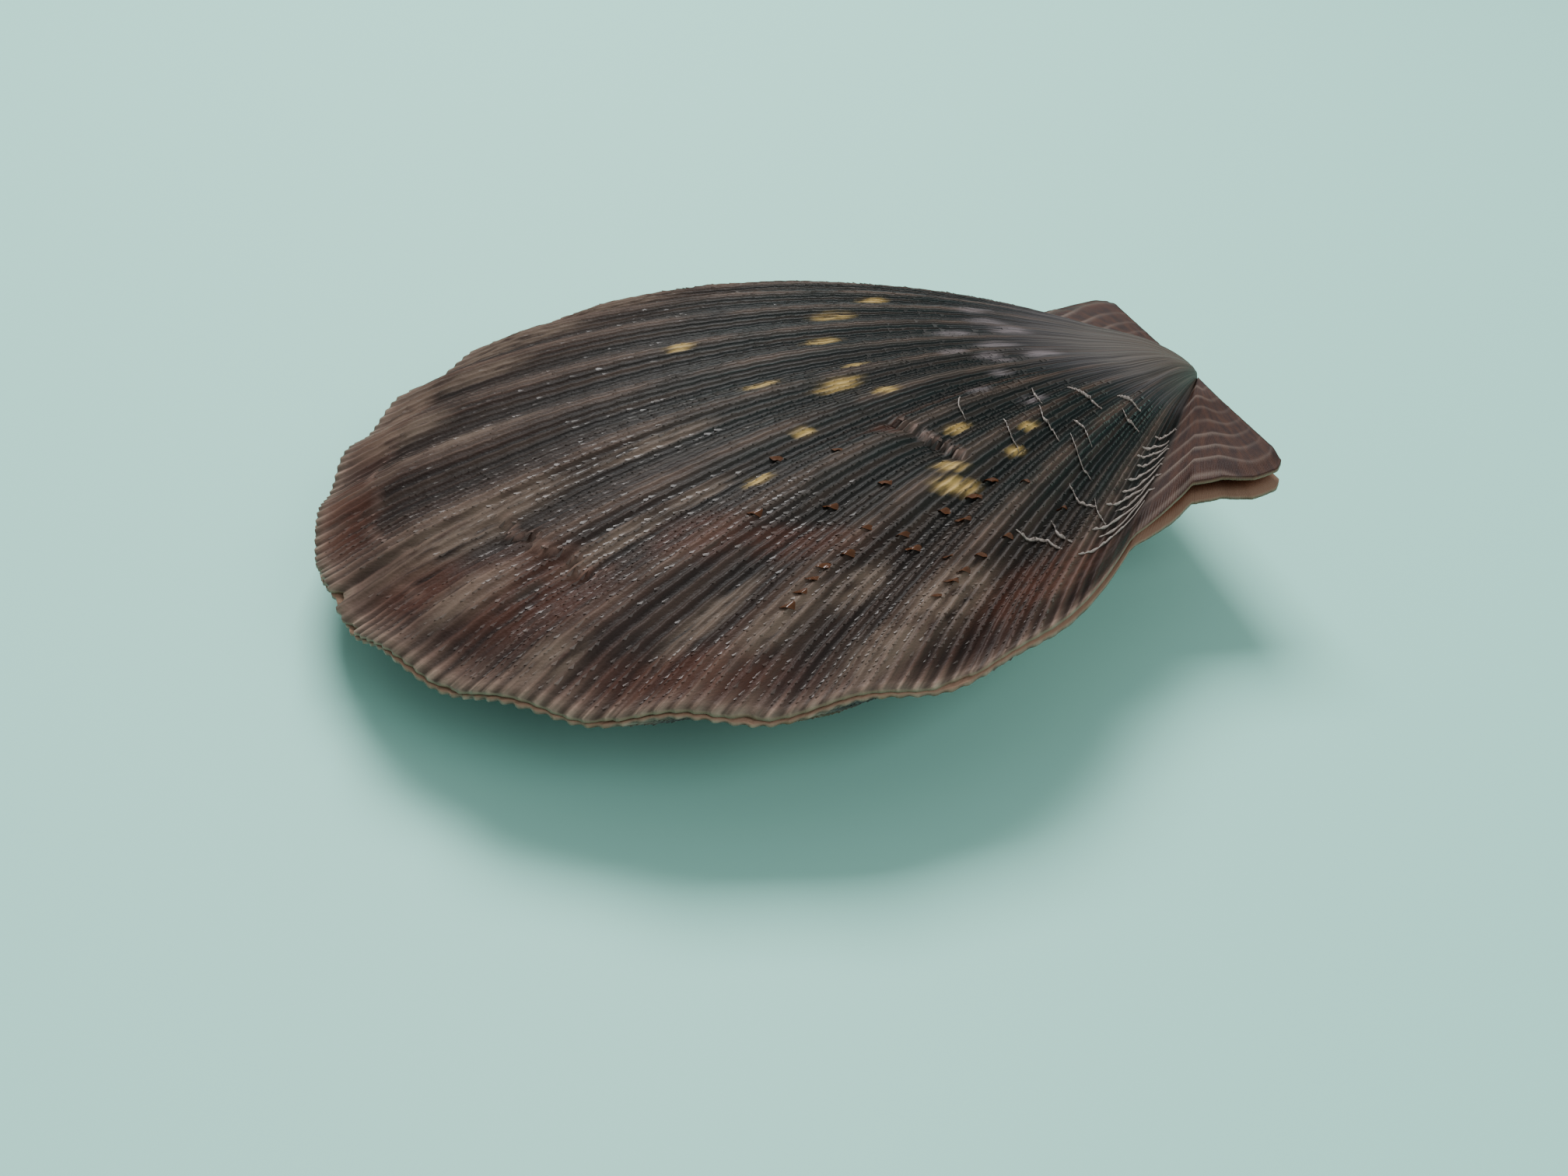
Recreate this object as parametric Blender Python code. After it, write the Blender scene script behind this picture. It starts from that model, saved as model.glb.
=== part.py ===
"""Closed scallop shell (Laevichlamys squamosa), a pair of valves joined by their hinge ligament.

The shell lies on the belly of its lower valve, as a dried specimen does on a table.

The shape is worked out in the shell's own frame, with the umbo at its origin:
  +X runs along the straight hinge line towards the front ears,
  +Y runs from the umbo to the ventral margin, across the disc,
  +Z points out through the upper valve, and the valves meet near Z = 0.
Every point of a valve lies on a ray from the umbo. Its growth is the share of that ray that it
has come along, from 0 at the umbo to 1 at the margin, so growth lines have one growth value.
"""

import math

import bmesh
import bpy
from mathutils import Matrix, Vector

# Driving dimensions, in metres.
SHELL_HEIGHT = 0.050  # umbo to ventral margin
UPPER_INFLATION = 0.0052  # height of the upper (left) valve's arch over its lip
LOWER_INFLATION = 0.0056  # depth of the lower (right) valve's arch under its lip
LIP_THICKNESS = 0.00036
WALL_THICKNESS = 0.0010
EAR_THICKNESS = 0.00050
MARGIN_GAP = 0.00030  # between the lips of the two valves
EAR_GAP = 0.0009  # the ears stand a little further apart
FOLD_HEIGHT = 0.00065  # crest to trough of a radial fold at the margin
EAR_RIB_HEIGHT = 0.00022
BEAK_OVERHANG = 0.0006  # how far the umbo bulges past the hinge line
FLAT_SPOT_DEPTH = 0.00040  # how deep the resting spot is worn into the belly

# The disc's margin: its distance from the disc's centre, in shell heights, at even angles from
# the ventral point, from the rear shoulder round to the front one.
DISC_CENTRE = 0.5
SHOULDER_ANGLE = math.radians(135)
MARGIN_RADII = (0.423, 0.472, 0.495, 0.513, 0.501, 0.486, 0.496, 0.505, 0.485, 0.424)

# The ears' free edges, in shell heights, from the disc's shoulder to the end of the hinge line.
REAR_EAR = ((-0.226, 0.106), (-0.224, 0.072), (-0.235, 0.042), (-0.226, 0.012), (-0.210, 0.0))
UPPER_FRONT_EAR = ((0.262, 0.142), (0.256, 0.100), (0.268, 0.052), (0.276, 0.014), (0.268, 0.0))
LOWER_FRONT_EAR = ((0.176, 0.113), (0.196, 0.100), (0.262, 0.088), (0.276, 0.016), (0.268, 0.0))

# Radial folds, as angles at the umbo.
FOLDS = 12
FOLD_ANGLE = math.radians(8.6)
FAN_ANGLE = math.radians(56)  # from the middle of the fan to the line where an ear begins
STATIONS_PER_FOLD = 6
SHOULDER_STATIONS = 4
EAR_RIBS = 3

# Growth values of the rings of points.
RINGS = (0.02, 0.06, 0.12, 0.19, 0.27, 0.35, 0.43, 0.51, 0.59, 0.67, 0.75, 0.82, 0.89, 0.95, 1.0)

# How the shell lies: the end by the hinge and the rear side are a little higher.
HINGE_END_UP = math.radians(4.0)
REAR_SIDE_UP = math.radians(3.0)
TURN_ON_TABLE = math.radians(105)  # turns the ventral margin to the left of the front view

# Arch of a valve along a ray: growth ** ARCH_RISE * (1 - growth ** ARCH_FALL), scaled to 1.
ARCH_RISE = 0.55
ARCH_FALL = 1.6
ARCH_SIDES = 3.2
LIGAMENT_ROOM = 0.14  # growth value that the hollow for the ligament reaches
SIDE_ROOM = 0.45  # the same beside the ears, where the rays are short
SIDE_START = 0.70  # share of the fan angle from which the hollow reaches further
SIDE_FULL = 0.85
WALL_TAPER = 6  # the wall thins to nothing over the last sixth of each ray
EAR_BLEND = 0.1  # angle over which the disc's face turns into the ear's
EAR_GAP_START = 0.9  # share of the fan angle where the gap starts to widen
FOLD_FADE = 0.25  # folds past the outermost one that the fading folds reach
BEAK_REACH = 0.2  # growth value where the umbo's overhang ends

# The ligament, in shell heights: a strip by the hinge line, and the resilium's wedge behind the
# umbo. It keeps clear of both valves.
LIGAMENT_CLEARANCE = 0.00004
LIGAMENT_OUTLINE = (
    (-0.195, 0.004), (-0.195, 0.020), (-0.030, 0.024), (-0.016, 0.052), (0.016, 0.052),
    (0.030, 0.024), (0.250, 0.020), (0.250, 0.004),
)
SHARP_EDGE = math.radians(40)

UPPER_COLOUR = (0.060, 0.045, 0.042, 1.0)
LOWER_COLOUR = (0.115, 0.055, 0.022, 1.0)
LIGAMENT_COLOUR = (0.070, 0.022, 0.010, 1.0)


def remove_startup_objects():
    """Takes everything out of the scene."""
    for obj in list(bpy.data.objects):
        bpy.data.objects.remove(obj, do_unlink=True)


def eased_value(values, place):
    """Catmull-Rom curve through evenly spaced values, at place from 0 to 1."""
    last = len(values) - 1
    along = min(max(place, 0.0), 1.0) * last
    start = min(int(along), last - 1)
    t = along - start
    before = values[max(start - 1, 0)]
    first, second = values[start], values[start + 1]
    after = values[min(start + 2, last)]
    slope_in = (second - before) / 2
    slope_out = (after - first) / 2
    rise = first - second
    return first + t * (slope_in + t * (-3 * rise - 2 * slope_in - slope_out
                                        + t * (2 * rise + slope_in + slope_out)))


def disc_margin(angle):
    """Point of the disc's margin at an angle about the disc's centre, in shell heights."""
    place = (angle + SHOULDER_ANGLE) / (2 * SHOULDER_ANGLE)
    radius = eased_value(MARGIN_RADII, place)
    return Vector((radius * math.sin(angle), DISC_CENTRE + radius * math.cos(angle)))


def umbo_angle(point):
    """Angle at the umbo between the middle of the fan and a point."""
    return math.atan2(point.x, point.y)


def margin_at_ray(ray):
    """Point of the disc's margin on a ray from the umbo, found by halving."""
    low, high = -SHOULDER_ANGLE, SHOULDER_ANGLE
    for _ in range(40):
        middle = (low + high) / 2
        if umbo_angle(disc_margin(middle)) < ray:
            low = middle
        else:
            high = middle
    return disc_margin((low + high) / 2)


def shoulder_points(side):
    """Margin points from the last fold to the shoulder, on the rear (-1) or front (1) side."""
    last_fold = margin_at_ray(side * FOLDS * FOLD_ANGLE / 2)
    start = math.atan2(last_fold.x, last_fold.y - DISC_CENTRE)
    end = side * SHOULDER_ANGLE
    steps = range(1, SHOULDER_STATIONS + 1)
    return [disc_margin(start + (end - start) * i / SHOULDER_STATIONS) for i in steps]


def ear_points(edge):
    """An ear's free edge with a point added between each pair, so that its ribs show."""
    corners = [Vector(point) for point in edge]
    points = []
    for first, second in zip(corners, corners[1:]):
        points += [first, (first + second) / 2]
    return points + corners[-1:]


def outline(front_ear):
    """Margin of a valve from the rear end of the hinge line round to the front end."""
    count = FOLDS * STATIONS_PER_FOLD
    step = FOLD_ANGLE / STATIONS_PER_FOLD
    fan = [margin_at_ray((i - count / 2) * step) for i in range(count + 1)]
    rear = shoulder_points(-1) + ear_points(REAR_EAR)
    front = shoulder_points(1) + ear_points(front_ear)
    return rear[::-1] + fan + front


def arch(growth):
    """Share of the full height of the arch along a ray."""
    crest = (ARCH_RISE / (ARCH_RISE + ARCH_FALL)) ** (1 / ARCH_FALL)
    full = crest ** ARCH_RISE * (1 - crest ** ARCH_FALL)
    return growth ** ARCH_RISE * (1 - growth ** ARCH_FALL) / full


def across(ray):
    """Share of the full height of the arch across the fan, 0 on the ears."""
    share = min(abs(ray) / FAN_ANGLE, 1.0)
    return 1 - share ** ARCH_SIDES


def fold(ray, growth):
    """Height of the radial folds, up where the upper valve has a crest."""
    phase = ray / FOLD_ANGLE
    faded = min(max((FOLDS / 2 + FOLD_FADE - abs(phase)) / (2 * FOLD_FADE), 0.0), 1.0)
    return FOLD_HEIGHT / 2 * math.cos(2 * math.pi * phase) * growth ** 1.3 * faded


def ear_rib(ray, growth):
    """Height of the ribs that run out along an ear."""
    share = (abs(ray) - FAN_ANGLE) / (math.pi / 2 - FAN_ANGLE)
    if share <= 0 or growth >= 1:
        return 0.0
    return EAR_RIB_HEIGHT * math.sin(math.pi * EAR_RIBS * share) ** 2 * min(growth * 3, 1.0)


def lip_gap(ray, growth):
    """Half of the space between the two valves, which is wider at the ears and the ligament."""
    at_ear = (abs(ray) / FAN_ANGLE - EAR_GAP_START) / (2 * (1 - EAR_GAP_START))
    beside = (abs(ray) / FAN_ANGLE - SIDE_START) / (SIDE_FULL - SIDE_START)
    room = LIGAMENT_ROOM + (SIDE_ROOM - LIGAMENT_ROOM) * min(max(beside, 0.0), 1.0)
    at_ligament = (room - growth) / (room / 2)
    share = min(max(at_ear, at_ligament, 0.0), 1.0)
    return (MARGIN_GAP + (EAR_GAP - MARGIN_GAP) * share) / 2


def outer_height(ray, growth, inflation):
    """Height of the outer face over the plane where the valves meet, without the folds."""
    on_ear = min(max((abs(ray) - FAN_ANGLE) / EAR_BLEND, 0.0), 1.0)
    base = LIP_THICKNESS + (EAR_THICKNESS - LIP_THICKNESS) * on_ear
    return lip_gap(ray, growth) + base + inflation * arch(growth) * across(ray) + ear_rib(ray, growth)


def inner_height(ray, growth, inflation):
    """Height of the inner face, which ends at the lip and at the hinge plate."""
    wall = WALL_THICKNESS * min((1 - growth) * WALL_TAPER, 1.0)
    arched = inflation * arch(growth) * across(ray) - wall
    return lip_gap(ray, growth) + max(arched, 0.0)


def shell_point(margin_point, growth, height):
    """A point of a valve, in metres. The umbo bulges a little past the hinge line."""
    flat = margin_point * growth * SHELL_HEIGHT
    over = min(abs(height) / UPPER_INFLATION, 1.0) * BEAK_OVERHANG
    near_umbo = max(1 - growth / BEAK_REACH, 0.0)
    return Vector((flat.x, flat.y - over * near_umbo, height))


def valve_mesh(name, front_ear, inflation, up):
    """One valve as a closed mesh: an outer and an inner sheet joined at the lip and the hinge.

    The inner sheet has every second ring of the outer one."""
    edge = outline(front_ear)
    bm = bmesh.new()
    sheets = []
    for height_of, steps in ((outer_height, RINGS), (inner_height, RINGS[::2])):
        outside = height_of is outer_height
        pole_height = height_of(0.0, RINGS[0] / 2, inflation)
        pole = bm.verts.new(shell_point(edge[0], 0.0, up * pole_height))
        rings = []
        for growth in steps:
            ring = []
            for point in edge:
                ray = umbo_angle(point)
                share = 1.0 if outside else growth ** 2
                height = up * height_of(ray, growth, inflation) + fold(ray, growth) * share
                ring.append(bm.verts.new(shell_point(point, growth, height)))
            rings.append(ring)
        sheets.append((pole, rings))
    (outer_pole, outer), (inner_pole, inner) = sheets
    for pole, rings in sheets:
        for i in range(len(edge) - 1):
            bm.faces.new((pole, rings[0][i], rings[0][i + 1]))
            for lower, upper in zip(rings, rings[1:]):
                bm.faces.new((lower[i], upper[i], upper[i + 1], lower[i + 1]))
    for i in range(len(edge) - 1):
        bm.faces.new((outer[-1][i], inner[-1][i], inner[-1][i + 1], outer[-1][i + 1]))
    for end in (0, -1):
        bm.faces.new((outer_pole, outer[0][end], inner[0][end], inner_pole))
        for k in range(len(inner) - 1):
            bm.faces.new((outer[2 * k][end], outer[2 * k + 1][end], outer[2 * k + 2][end],
                          inner[k + 1][end], inner[k][end]))
    bmesh.ops.recalc_face_normals(bm, faces=bm.faces)
    mesh = bpy.data.meshes.new(name)
    bm.to_mesh(mesh)
    bm.free()
    return mesh


def wear_flat_spot(mesh, up_vector):
    """Moves the lowest points of the belly up into one plane, which the shell rests on."""
    heights = [vertex.co.dot(up_vector) for vertex in mesh.vertices]
    floor = min(heights) + FLAT_SPOT_DEPTH
    for vertex, height in zip(mesh.vertices, heights):
        if height < floor:
            vertex.co += up_vector * (floor - height)


def ligament_mesh(name):
    """The dried ligament: a flat strip cut to its outline."""
    half = EAR_GAP / 2 - LIGAMENT_CLEARANCE
    bm = bmesh.new()
    corners = [(x * SHELL_HEIGHT, y * SHELL_HEIGHT, -half) for x, y in LIGAMENT_OUTLINE]
    base = bm.faces.new([bm.verts.new(corner) for corner in corners])
    raised = bmesh.ops.extrude_face_region(bm, geom=[base])["geom"]
    top = [item for item in raised if isinstance(item, bmesh.types.BMVert)]
    bmesh.ops.translate(bm, verts=top, vec=(0, 0, 2 * half))
    bmesh.ops.recalc_face_normals(bm, faces=bm.faces)
    mesh = bpy.data.meshes.new(name)
    bm.to_mesh(mesh)
    bm.free()
    return mesh


def shell_material(name, colour, roughness):
    """Plain Principled material."""
    material = bpy.data.materials.new(name)
    material.use_nodes = True
    shader = material.node_tree.nodes["Principled BSDF"]
    shader.inputs["Base Color"].default_value = colour
    shader.inputs["Roughness"].default_value = roughness
    shader.inputs["Metallic"].default_value = 0.0
    return material


def add_piece(name, mesh, material, parent):
    """Puts a mesh in the scene as a piece of the shell."""
    mesh.materials.append(material)
    mesh.shade_smooth()
    mesh.set_sharp_from_angle(angle=SHARP_EDGE)
    piece = bpy.data.objects.new(name, mesh)
    bpy.context.scene.collection.objects.link(piece)
    piece.parent = parent
    return piece


def main():
    """Builds the shell and lays it on the table, centred over the origin."""
    remove_startup_objects()
    lie = (Matrix.Rotation(TURN_ON_TABLE, 3, "Z")
           @ Matrix.Rotation(-HINGE_END_UP, 3, "X")
           @ Matrix.Rotation(REAR_SIDE_UP, 3, "Y"))
    up_vector = lie.inverted() @ Vector((0, 0, 1))
    shell = bpy.data.objects.new("shell", None)
    bpy.context.scene.collection.objects.link(shell)
    upper = valve_mesh("left_valve", UPPER_FRONT_EAR, UPPER_INFLATION, 1)
    lower = valve_mesh("right_valve", LOWER_FRONT_EAR, LOWER_INFLATION, -1)
    wear_flat_spot(lower, up_vector)
    pieces = [
        add_piece("left_valve", upper, shell_material("left_valve", UPPER_COLOUR, 0.45), shell),
        add_piece("right_valve", lower, shell_material("right_valve", LOWER_COLOUR, 0.42), shell),
        add_piece("hinge_ligament", ligament_mesh("hinge_ligament"),
                  shell_material("hinge_ligament", LIGAMENT_COLOUR, 0.55), shell),
    ]
    placed = [lie @ vertex.co for piece in pieces for vertex in piece.data.vertices]
    low = [min(point[axis] for point in placed) for axis in range(3)]
    high = [max(point[axis] for point in placed) for axis in range(3)]
    shell.rotation_euler = lie.to_euler()
    shell.location = (-(low[0] + high[0]) / 2, -(low[1] + high[1]) / 2, -low[2])


main()
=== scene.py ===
"""Looks of the closed scallop shell: riblets, scales, thin chipped margins and colours.

The valves are drawn in the shell's own frame, with the umbo at its origin, +X along the hinge
towards the front ears, +Y towards the ventral margin and +Z out through the upper valve. A place
on a valve is a ray, the angle at the umbo in degrees, and a growth, from 0 at the umbo to 1 at
the margin.
"""

import math

import bpy
import numpy as np
from mathutils import Matrix, Vector


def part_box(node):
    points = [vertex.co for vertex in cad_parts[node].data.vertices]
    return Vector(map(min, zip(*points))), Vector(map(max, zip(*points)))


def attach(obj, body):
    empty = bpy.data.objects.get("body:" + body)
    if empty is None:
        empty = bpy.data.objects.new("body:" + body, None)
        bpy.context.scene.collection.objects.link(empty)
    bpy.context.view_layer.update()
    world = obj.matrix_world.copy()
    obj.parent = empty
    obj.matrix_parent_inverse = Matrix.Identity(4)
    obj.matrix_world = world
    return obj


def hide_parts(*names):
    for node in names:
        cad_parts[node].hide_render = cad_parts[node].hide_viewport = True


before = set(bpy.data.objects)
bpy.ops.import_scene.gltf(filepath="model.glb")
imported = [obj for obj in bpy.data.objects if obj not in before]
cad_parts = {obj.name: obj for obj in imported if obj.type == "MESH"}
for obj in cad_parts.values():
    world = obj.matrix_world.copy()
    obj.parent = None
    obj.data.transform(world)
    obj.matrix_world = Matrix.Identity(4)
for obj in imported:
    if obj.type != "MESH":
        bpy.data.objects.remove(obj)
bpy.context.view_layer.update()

# Dimensions shared with the solids, in metres.
SHELL_HEIGHT = 0.050
UPPER_INFLATION = 0.0052
LOWER_INFLATION = 0.0056
LIP_THICKNESS = 0.00036
WALL_THICKNESS = 0.0010
EAR_THICKNESS = 0.00050
MARGIN_GAP = 0.00030
EAR_GAP = 0.0009
FOLD_HEIGHT = 0.00065
BEAK_OVERHANG = 0.0006

# Outline, in shell heights, as in the solids. The margin's radii follow a fit to the photograph.
DISC_CENTRE = 0.5
SHOULDER_ANGLE = math.radians(135)
MARGIN_RADII = (0.423, 0.472, 0.495, 0.513, 0.501, 0.486, 0.496, 0.505, 0.485, 0.424)
REAR_EAR = ((-0.226, 0.106), (-0.224, 0.072), (-0.235, 0.042), (-0.226, 0.012), (-0.210, 0.0))
UPPER_FRONT_EAR = ((0.262, 0.142), (0.256, 0.100), (0.268, 0.052), (0.276, 0.014), (0.268, 0.0))
LOWER_FRONT_EAR = ((0.176, 0.113), (0.196, 0.100), (0.262, 0.088), (0.276, 0.016), (0.268, 0.0))
LIGAMENT_OUTLINE = ((-0.195, 0.004), (-0.195, 0.020), (-0.030, 0.024), (-0.016, 0.052),
                    (0.016, 0.052), (0.030, 0.024), (0.250, 0.020), (0.250, 0.004))
LIGAMENT_HALF_THICKNESS = 0.00041

FOLDS = 12
FOLD_ANGLE = math.radians(8.6)
FAN_ANGLE = math.radians(56)
ARCH_RISE = 0.55
ARCH_FALL = 1.6
ARCH_SIDES = 3.2
LIGAMENT_ROOM = 0.14
SIDE_ROOM = 0.45
SIDE_START = 0.70
SIDE_FULL = 0.85

# How the shell lies.
HINGE_END_UP = math.radians(4.0)
REAR_SIDE_UP = math.radians(3.0)
TURN_ON_TABLE = math.radians(105)

# Camera, fitted to the shell's outline in the photograph.
CAMERA_PLACE = (0.00208, -0.07941, 0.04923)
CAMERA_DOWN = math.radians(33.19)
CAMERA_TURN = math.radians(1.79)
CAMERA_ROLL = math.radians(1.45)
CAMERA_LENS = 37.5
SENSOR_WIDTH = 36.0

# Fine mesh.
STATIONS_PER_FOLD = 60
SHOULDER_STATIONS = 24
EAR_STATIONS = 60
OUTER_RINGS = 102
INNER_RINGS = 8
FIRST_GROWTH = 0.004  # of the ring next to the umbo

# Relief of the surfaces: counts, heights in metres, and shares where a comment says so.
RIBLETS_PER_FOLD = 10
RIBLET_HEIGHT = 0.00012
LUMP_HEIGHT = 0.00005
GROWTH_LINE_HEIGHT = 0.00002
GROWTH_LINE_TURNS = 210  # radians of the growth lines' wave from umbo to margin
EAR_RIDGES = 8
EAR_RIDGE_HEIGHT = 0.00010
THIN_LIP = 0.45  # share of the lip's thickness left at the very edge
TIGHT_GAP = 0.35  # share of the gap left at the very edge
TOOTH_DEPTH = 0.0040  # of the riblets' tips at the margin, as a share of its reach
MARGIN_WAVE = 0.0032  # share of the reach

# Scales in rows on the riblets.
FLAKE_SPACING = 0.0060  # in growth
FLAKE_LENGTH = 0.00038
FLAKE_WIDTH = 0.00020
FLAKE_HEIGHT = 0.000050
FLAKE_SINK = 0.3  # share of its height that a scale's foot is sunk into the surface
FLAKE_TIP = 0.35  # how far the tip reaches past the scale's place, as a share of its length
FIRST_FLAKES = 0.22  # growth where the rows on the riblets start
FIRST_BETWEEN = 0.6  # growth where the rows between the riblets start
LAST_FLAKES = 0.985
TABLE_CLEARANCE = 0.0003  # no scales nearer to the table than this

# Hooded scales and lamellae.
HOOD_WIDTH = 0.00068
HOOD_HEIGHT = 0.00017
HOOD_LENGTH = 0.0006
HOOD_SINK = 0.00003
HOOD_ARCS = 9
HOOD_STEPS = 6
BLADE_HEIGHT = 0.00026
BLADE_THICKNESS = 0.00009
BLADE_SINK = 0.00006
BLADE_SAMPLES = 28
CREST_SPAN = 9  # samples that a lamella's crest is evened over
WRINKLES = 11
WRINKLE_GROWTHS = (0.36, 0.80)
WRINKLE_HEIGHT = 0.00020
WRINKLE_THICKNESS = 0.00026

# Fixed seeds. Where there are two, the first is the upper valve's.
RELIEF_SEEDS = (3, 8)
MARGIN_SEEDS = (21, 34)
FLAKE_ROW_SEEDS = (5, 6)
FLAKE_SIZE_SEED = 12
FLAKE_PATCH_SEED = 90
RIDGE_BEND_SEED = 55
RIDGE_BREAK_SEED = 57
HOOD_SEED = 17
WRINKLE_SEED = 44
BLADE_WAVE_SEED = 40
BLADE_CREST_SEED = 70

# Places as (ray in degrees, growth), and radii in degrees and growth. Most of those on the upper
# valve were picked in the photograph, turned into rays and growths with the fitted camera and
# rounded, and the rest were added between them. The amber, dark and olive zones are on the
# lower valve, placed in the manner of its reflection.
OCHRE_SPOTS = (
    (13.6, 0.43, 1.5, 0.020), (3.6, 0.437, 1.2, 0.016), (-11.2, 0.456, 1.3, 0.022),
    (-6.7, 0.524, 0.9, 0.016), (-16.8, 0.43, 1.0, 0.010), (21.8, 0.402, 1.5, 0.014),
    (-6.7, 0.419, 0.7, 0.010), (-34.6, 0.552, 1.2, 0.012), (-36.8, 0.590, 1.6, 0.016),
    (-29.8, 0.456, 0.9, 0.013), (-19.1, 0.550, 0.7, 0.009), (-22.6, 0.642, 0.7, 0.012),
    (-37.9, 0.485, 0.8, 0.010), (-36.0, 0.42, 0.8, 0.010), (8.0, 0.60, 0.8, 0.013),
)
LAVENDER_SPOTS = (
    (2.7, 0.29, 2.0, 0.020), (-11.7, 0.276, 1.6, 0.015), (-14.9, 0.271, 1.3, 0.012),
    (-31.0, 0.339, 1.4, 0.016), (-13.0, 0.215, 2.2, 0.022), (5.7, 0.222, 2.5, 0.020),
    (-5.0, 0.25, 2.2, 0.022), (-20.0, 0.30, 1.2, 0.012), (-24.0, 0.36, 1.0, 0.014),
    (11.0, 0.25, 2.4, 0.020), (-8.0, 0.31, 1.4, 0.014), (18.0, 0.27, 2.2, 0.018),
)
TAN_RAYS = (
    (-10.7, 0.86, 2.0, 0.10), (-11.0, 0.66, 0.9, 0.06), (-17.8, 0.915, 1.3, 0.045),
    (-20.5, 0.79, 1.0, 0.05), (-20.6, 0.69, 0.7, 0.04), (15.4, 0.87, 1.2, 0.06),
    (7.0, 0.92, 1.4, 0.05), (-35.3, 0.86, 1.2, 0.06), (-37.6, 0.80, 1.2, 0.04),
    (-31.2, 0.86, 1.0, 0.06), (-42.5, 0.93, 2.0, 0.05), (-44.0, 0.84, 2.2, 0.07),
    (24.0, 0.88, 1.6, 0.07), (33.0, 0.85, 1.4, 0.08), (-26.2, 0.955, 1.3, 0.03),
    (1.5, 0.84, 0.9, 0.08), (40.0, 0.80, 1.6, 0.09), (13.0, 0.955, 5.0, 0.030),
    (25.0, 0.93, 5.0, 0.050), (36.0, 0.90, 5.0, 0.070), (47.0, 0.84, 5.0, 0.100),
)
RED_ZONES = (
    (-20.8, 0.88, 4.5, 0.060), (-25.0, 0.75, 3.0, 0.040), (-31.0, 0.73, 4.0, 0.030),
    (-2.0, 0.965, 5.0, 0.030), (-33.5, 0.95, 4.0, 0.035), (-14.0, 0.93, 3.0, 0.040),
    (10.0, 0.95, 5.0, 0.030), (-24.0, 0.49, 1.6, 0.015), (-50.0, 0.85, 4.0, 0.080),
)
AMBER_ZONES = (
    (-38.0, 0.48, 9.0, 0.16), (-24.0, 0.62, 6.0, 0.14), (-9.0, 0.72, 4.0, 0.12),
    (-46.0, 0.66, 6.0, 0.12), (12.0, 0.55, 6.0, 0.13), (28.0, 0.40, 7.0, 0.12),
    (-32.0, 0.80, 3.5, 0.08), (40.0, 0.62, 5.0, 0.12), (3.0, 0.80, 3.0, 0.09),
)
DARK_ZONES = (
    (-14.0, 0.45, 5.0, 0.09), (2.0, 0.50, 4.0, 0.08), (20.0, 0.62, 4.0, 0.08),
    (-40.0, 0.68, 3.0, 0.08), (-5.0, 0.85, 3.0, 0.05), (34.0, 0.70, 4.0, 0.10),
)
OLIVE_ZONES = (
    (-34.0, 0.34, 8.0, 0.09), (-44.0, 0.44, 5.0, 0.08), (-20.0, 0.40, 5.0, 0.07),
    (20.0, 0.30, 7.0, 0.08),
)
GROWTH_STEP = (-23.5, -10.5, 0.833, 0.00026)  # first ray, last ray, growth, drop in metres
STEP_REACH = 0.05  # growth over which the drop past the step fades
CRACK = ((-23.1, 0.472), (-25.6, 0.479), (-28.2, 0.488), (-30.7, 0.497), (-34.5, 0.525))
CRACK_FADE = ((-36, -33.5), (-21.5, -24))  # rays between which each end of the crack fades in
CRACK_DROP = 0.00042
CRACK_REACH = 0.02
PALE_LINE = (-17.0, 9.0, 0.937, 0.0030)  # first ray, last ray, growth, half width in growth
PALE_LINE_SHARE = 0.8
PALE_EDGE = (0.002, 0.0035)  # how far above a ledge its pale edge is, and its half width
BLADES = (
    ((-24.4, 0.390), (-26.5, 0.415), (-28.9, 0.432)),
    ((-32.7, 0.417), (-35.4, 0.450), (-38.1, 0.483)),
    ((-33.2, 0.356), (-36.5, 0.395), (-38.9, 0.415), (-41.1, 0.444)),
    ((-39.2, 0.369), (-42.5, 0.400), (-45.1, 0.436)),
    ((-28.0, 0.312), (-31.0, 0.335), (-33.2, 0.350)),
    ((-31.9, 0.284), (-36.5, 0.297), (-41.0, 0.319)),
    ((-41.3, 0.417), (-44.5, 0.470), (-47.8, 0.532)),
    ((-47.0, 0.657), (-48.5, 0.700), (-50.5, 0.745)),
    ((-44.9, 0.683), (-46.3, 0.705), (-48.2, 0.719), (-50.0, 0.760)),
    ((-49.9, 0.600), (-51.2, 0.660), (-52.8, 0.720)),
    ((-46.0, 0.545), (-48.0, 0.600), (-50.8, 0.640)),
    ((-43.8, 0.298), (-46.5, 0.330), (-49.5, 0.352)),
    ((-39.9, 0.257), (-43.5, 0.265), (-47.0, 0.285)),
)
HOODS = (
    (-38.6, 0.720), (-37.1, 0.700), (-35.3, 0.750), (-34.8, 0.777), (-34.9, 0.799),
    (-35.0, 0.821), (-44.1, 0.750), (-43.8, 0.786), (-43.6, 0.809), (-41.8, 0.751),
    (-44.8, 0.701), (-38.1, 0.642), (-42.2, 0.565), (-39.1, 0.603), (-40.2, 0.660),
    (-34.6, 0.700), (-30.0, 0.655), (-35.1, 0.845), (-43.4, 0.840), (-24.5, 0.560),
    (-47.2, 0.620), (-26.5, 0.700), (-31.5, 0.600), (-21.0, 0.600), (-38.9, 0.560),
)
# Ray and half width in degrees, and depth as a share of the margin's reach.
CHIPS = (
    (-10.2, 0.55, 0.012), (-13.0, 0.5, 0.006), (-6.5, 0.4, 0.005), (-22.0, 0.7, 0.004),
    (-37.5, 0.6, 0.007), (-47.5, 0.8, 0.010), (-31.0, 0.4, 0.005), (18.0, 0.5, 0.005),
)

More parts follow.
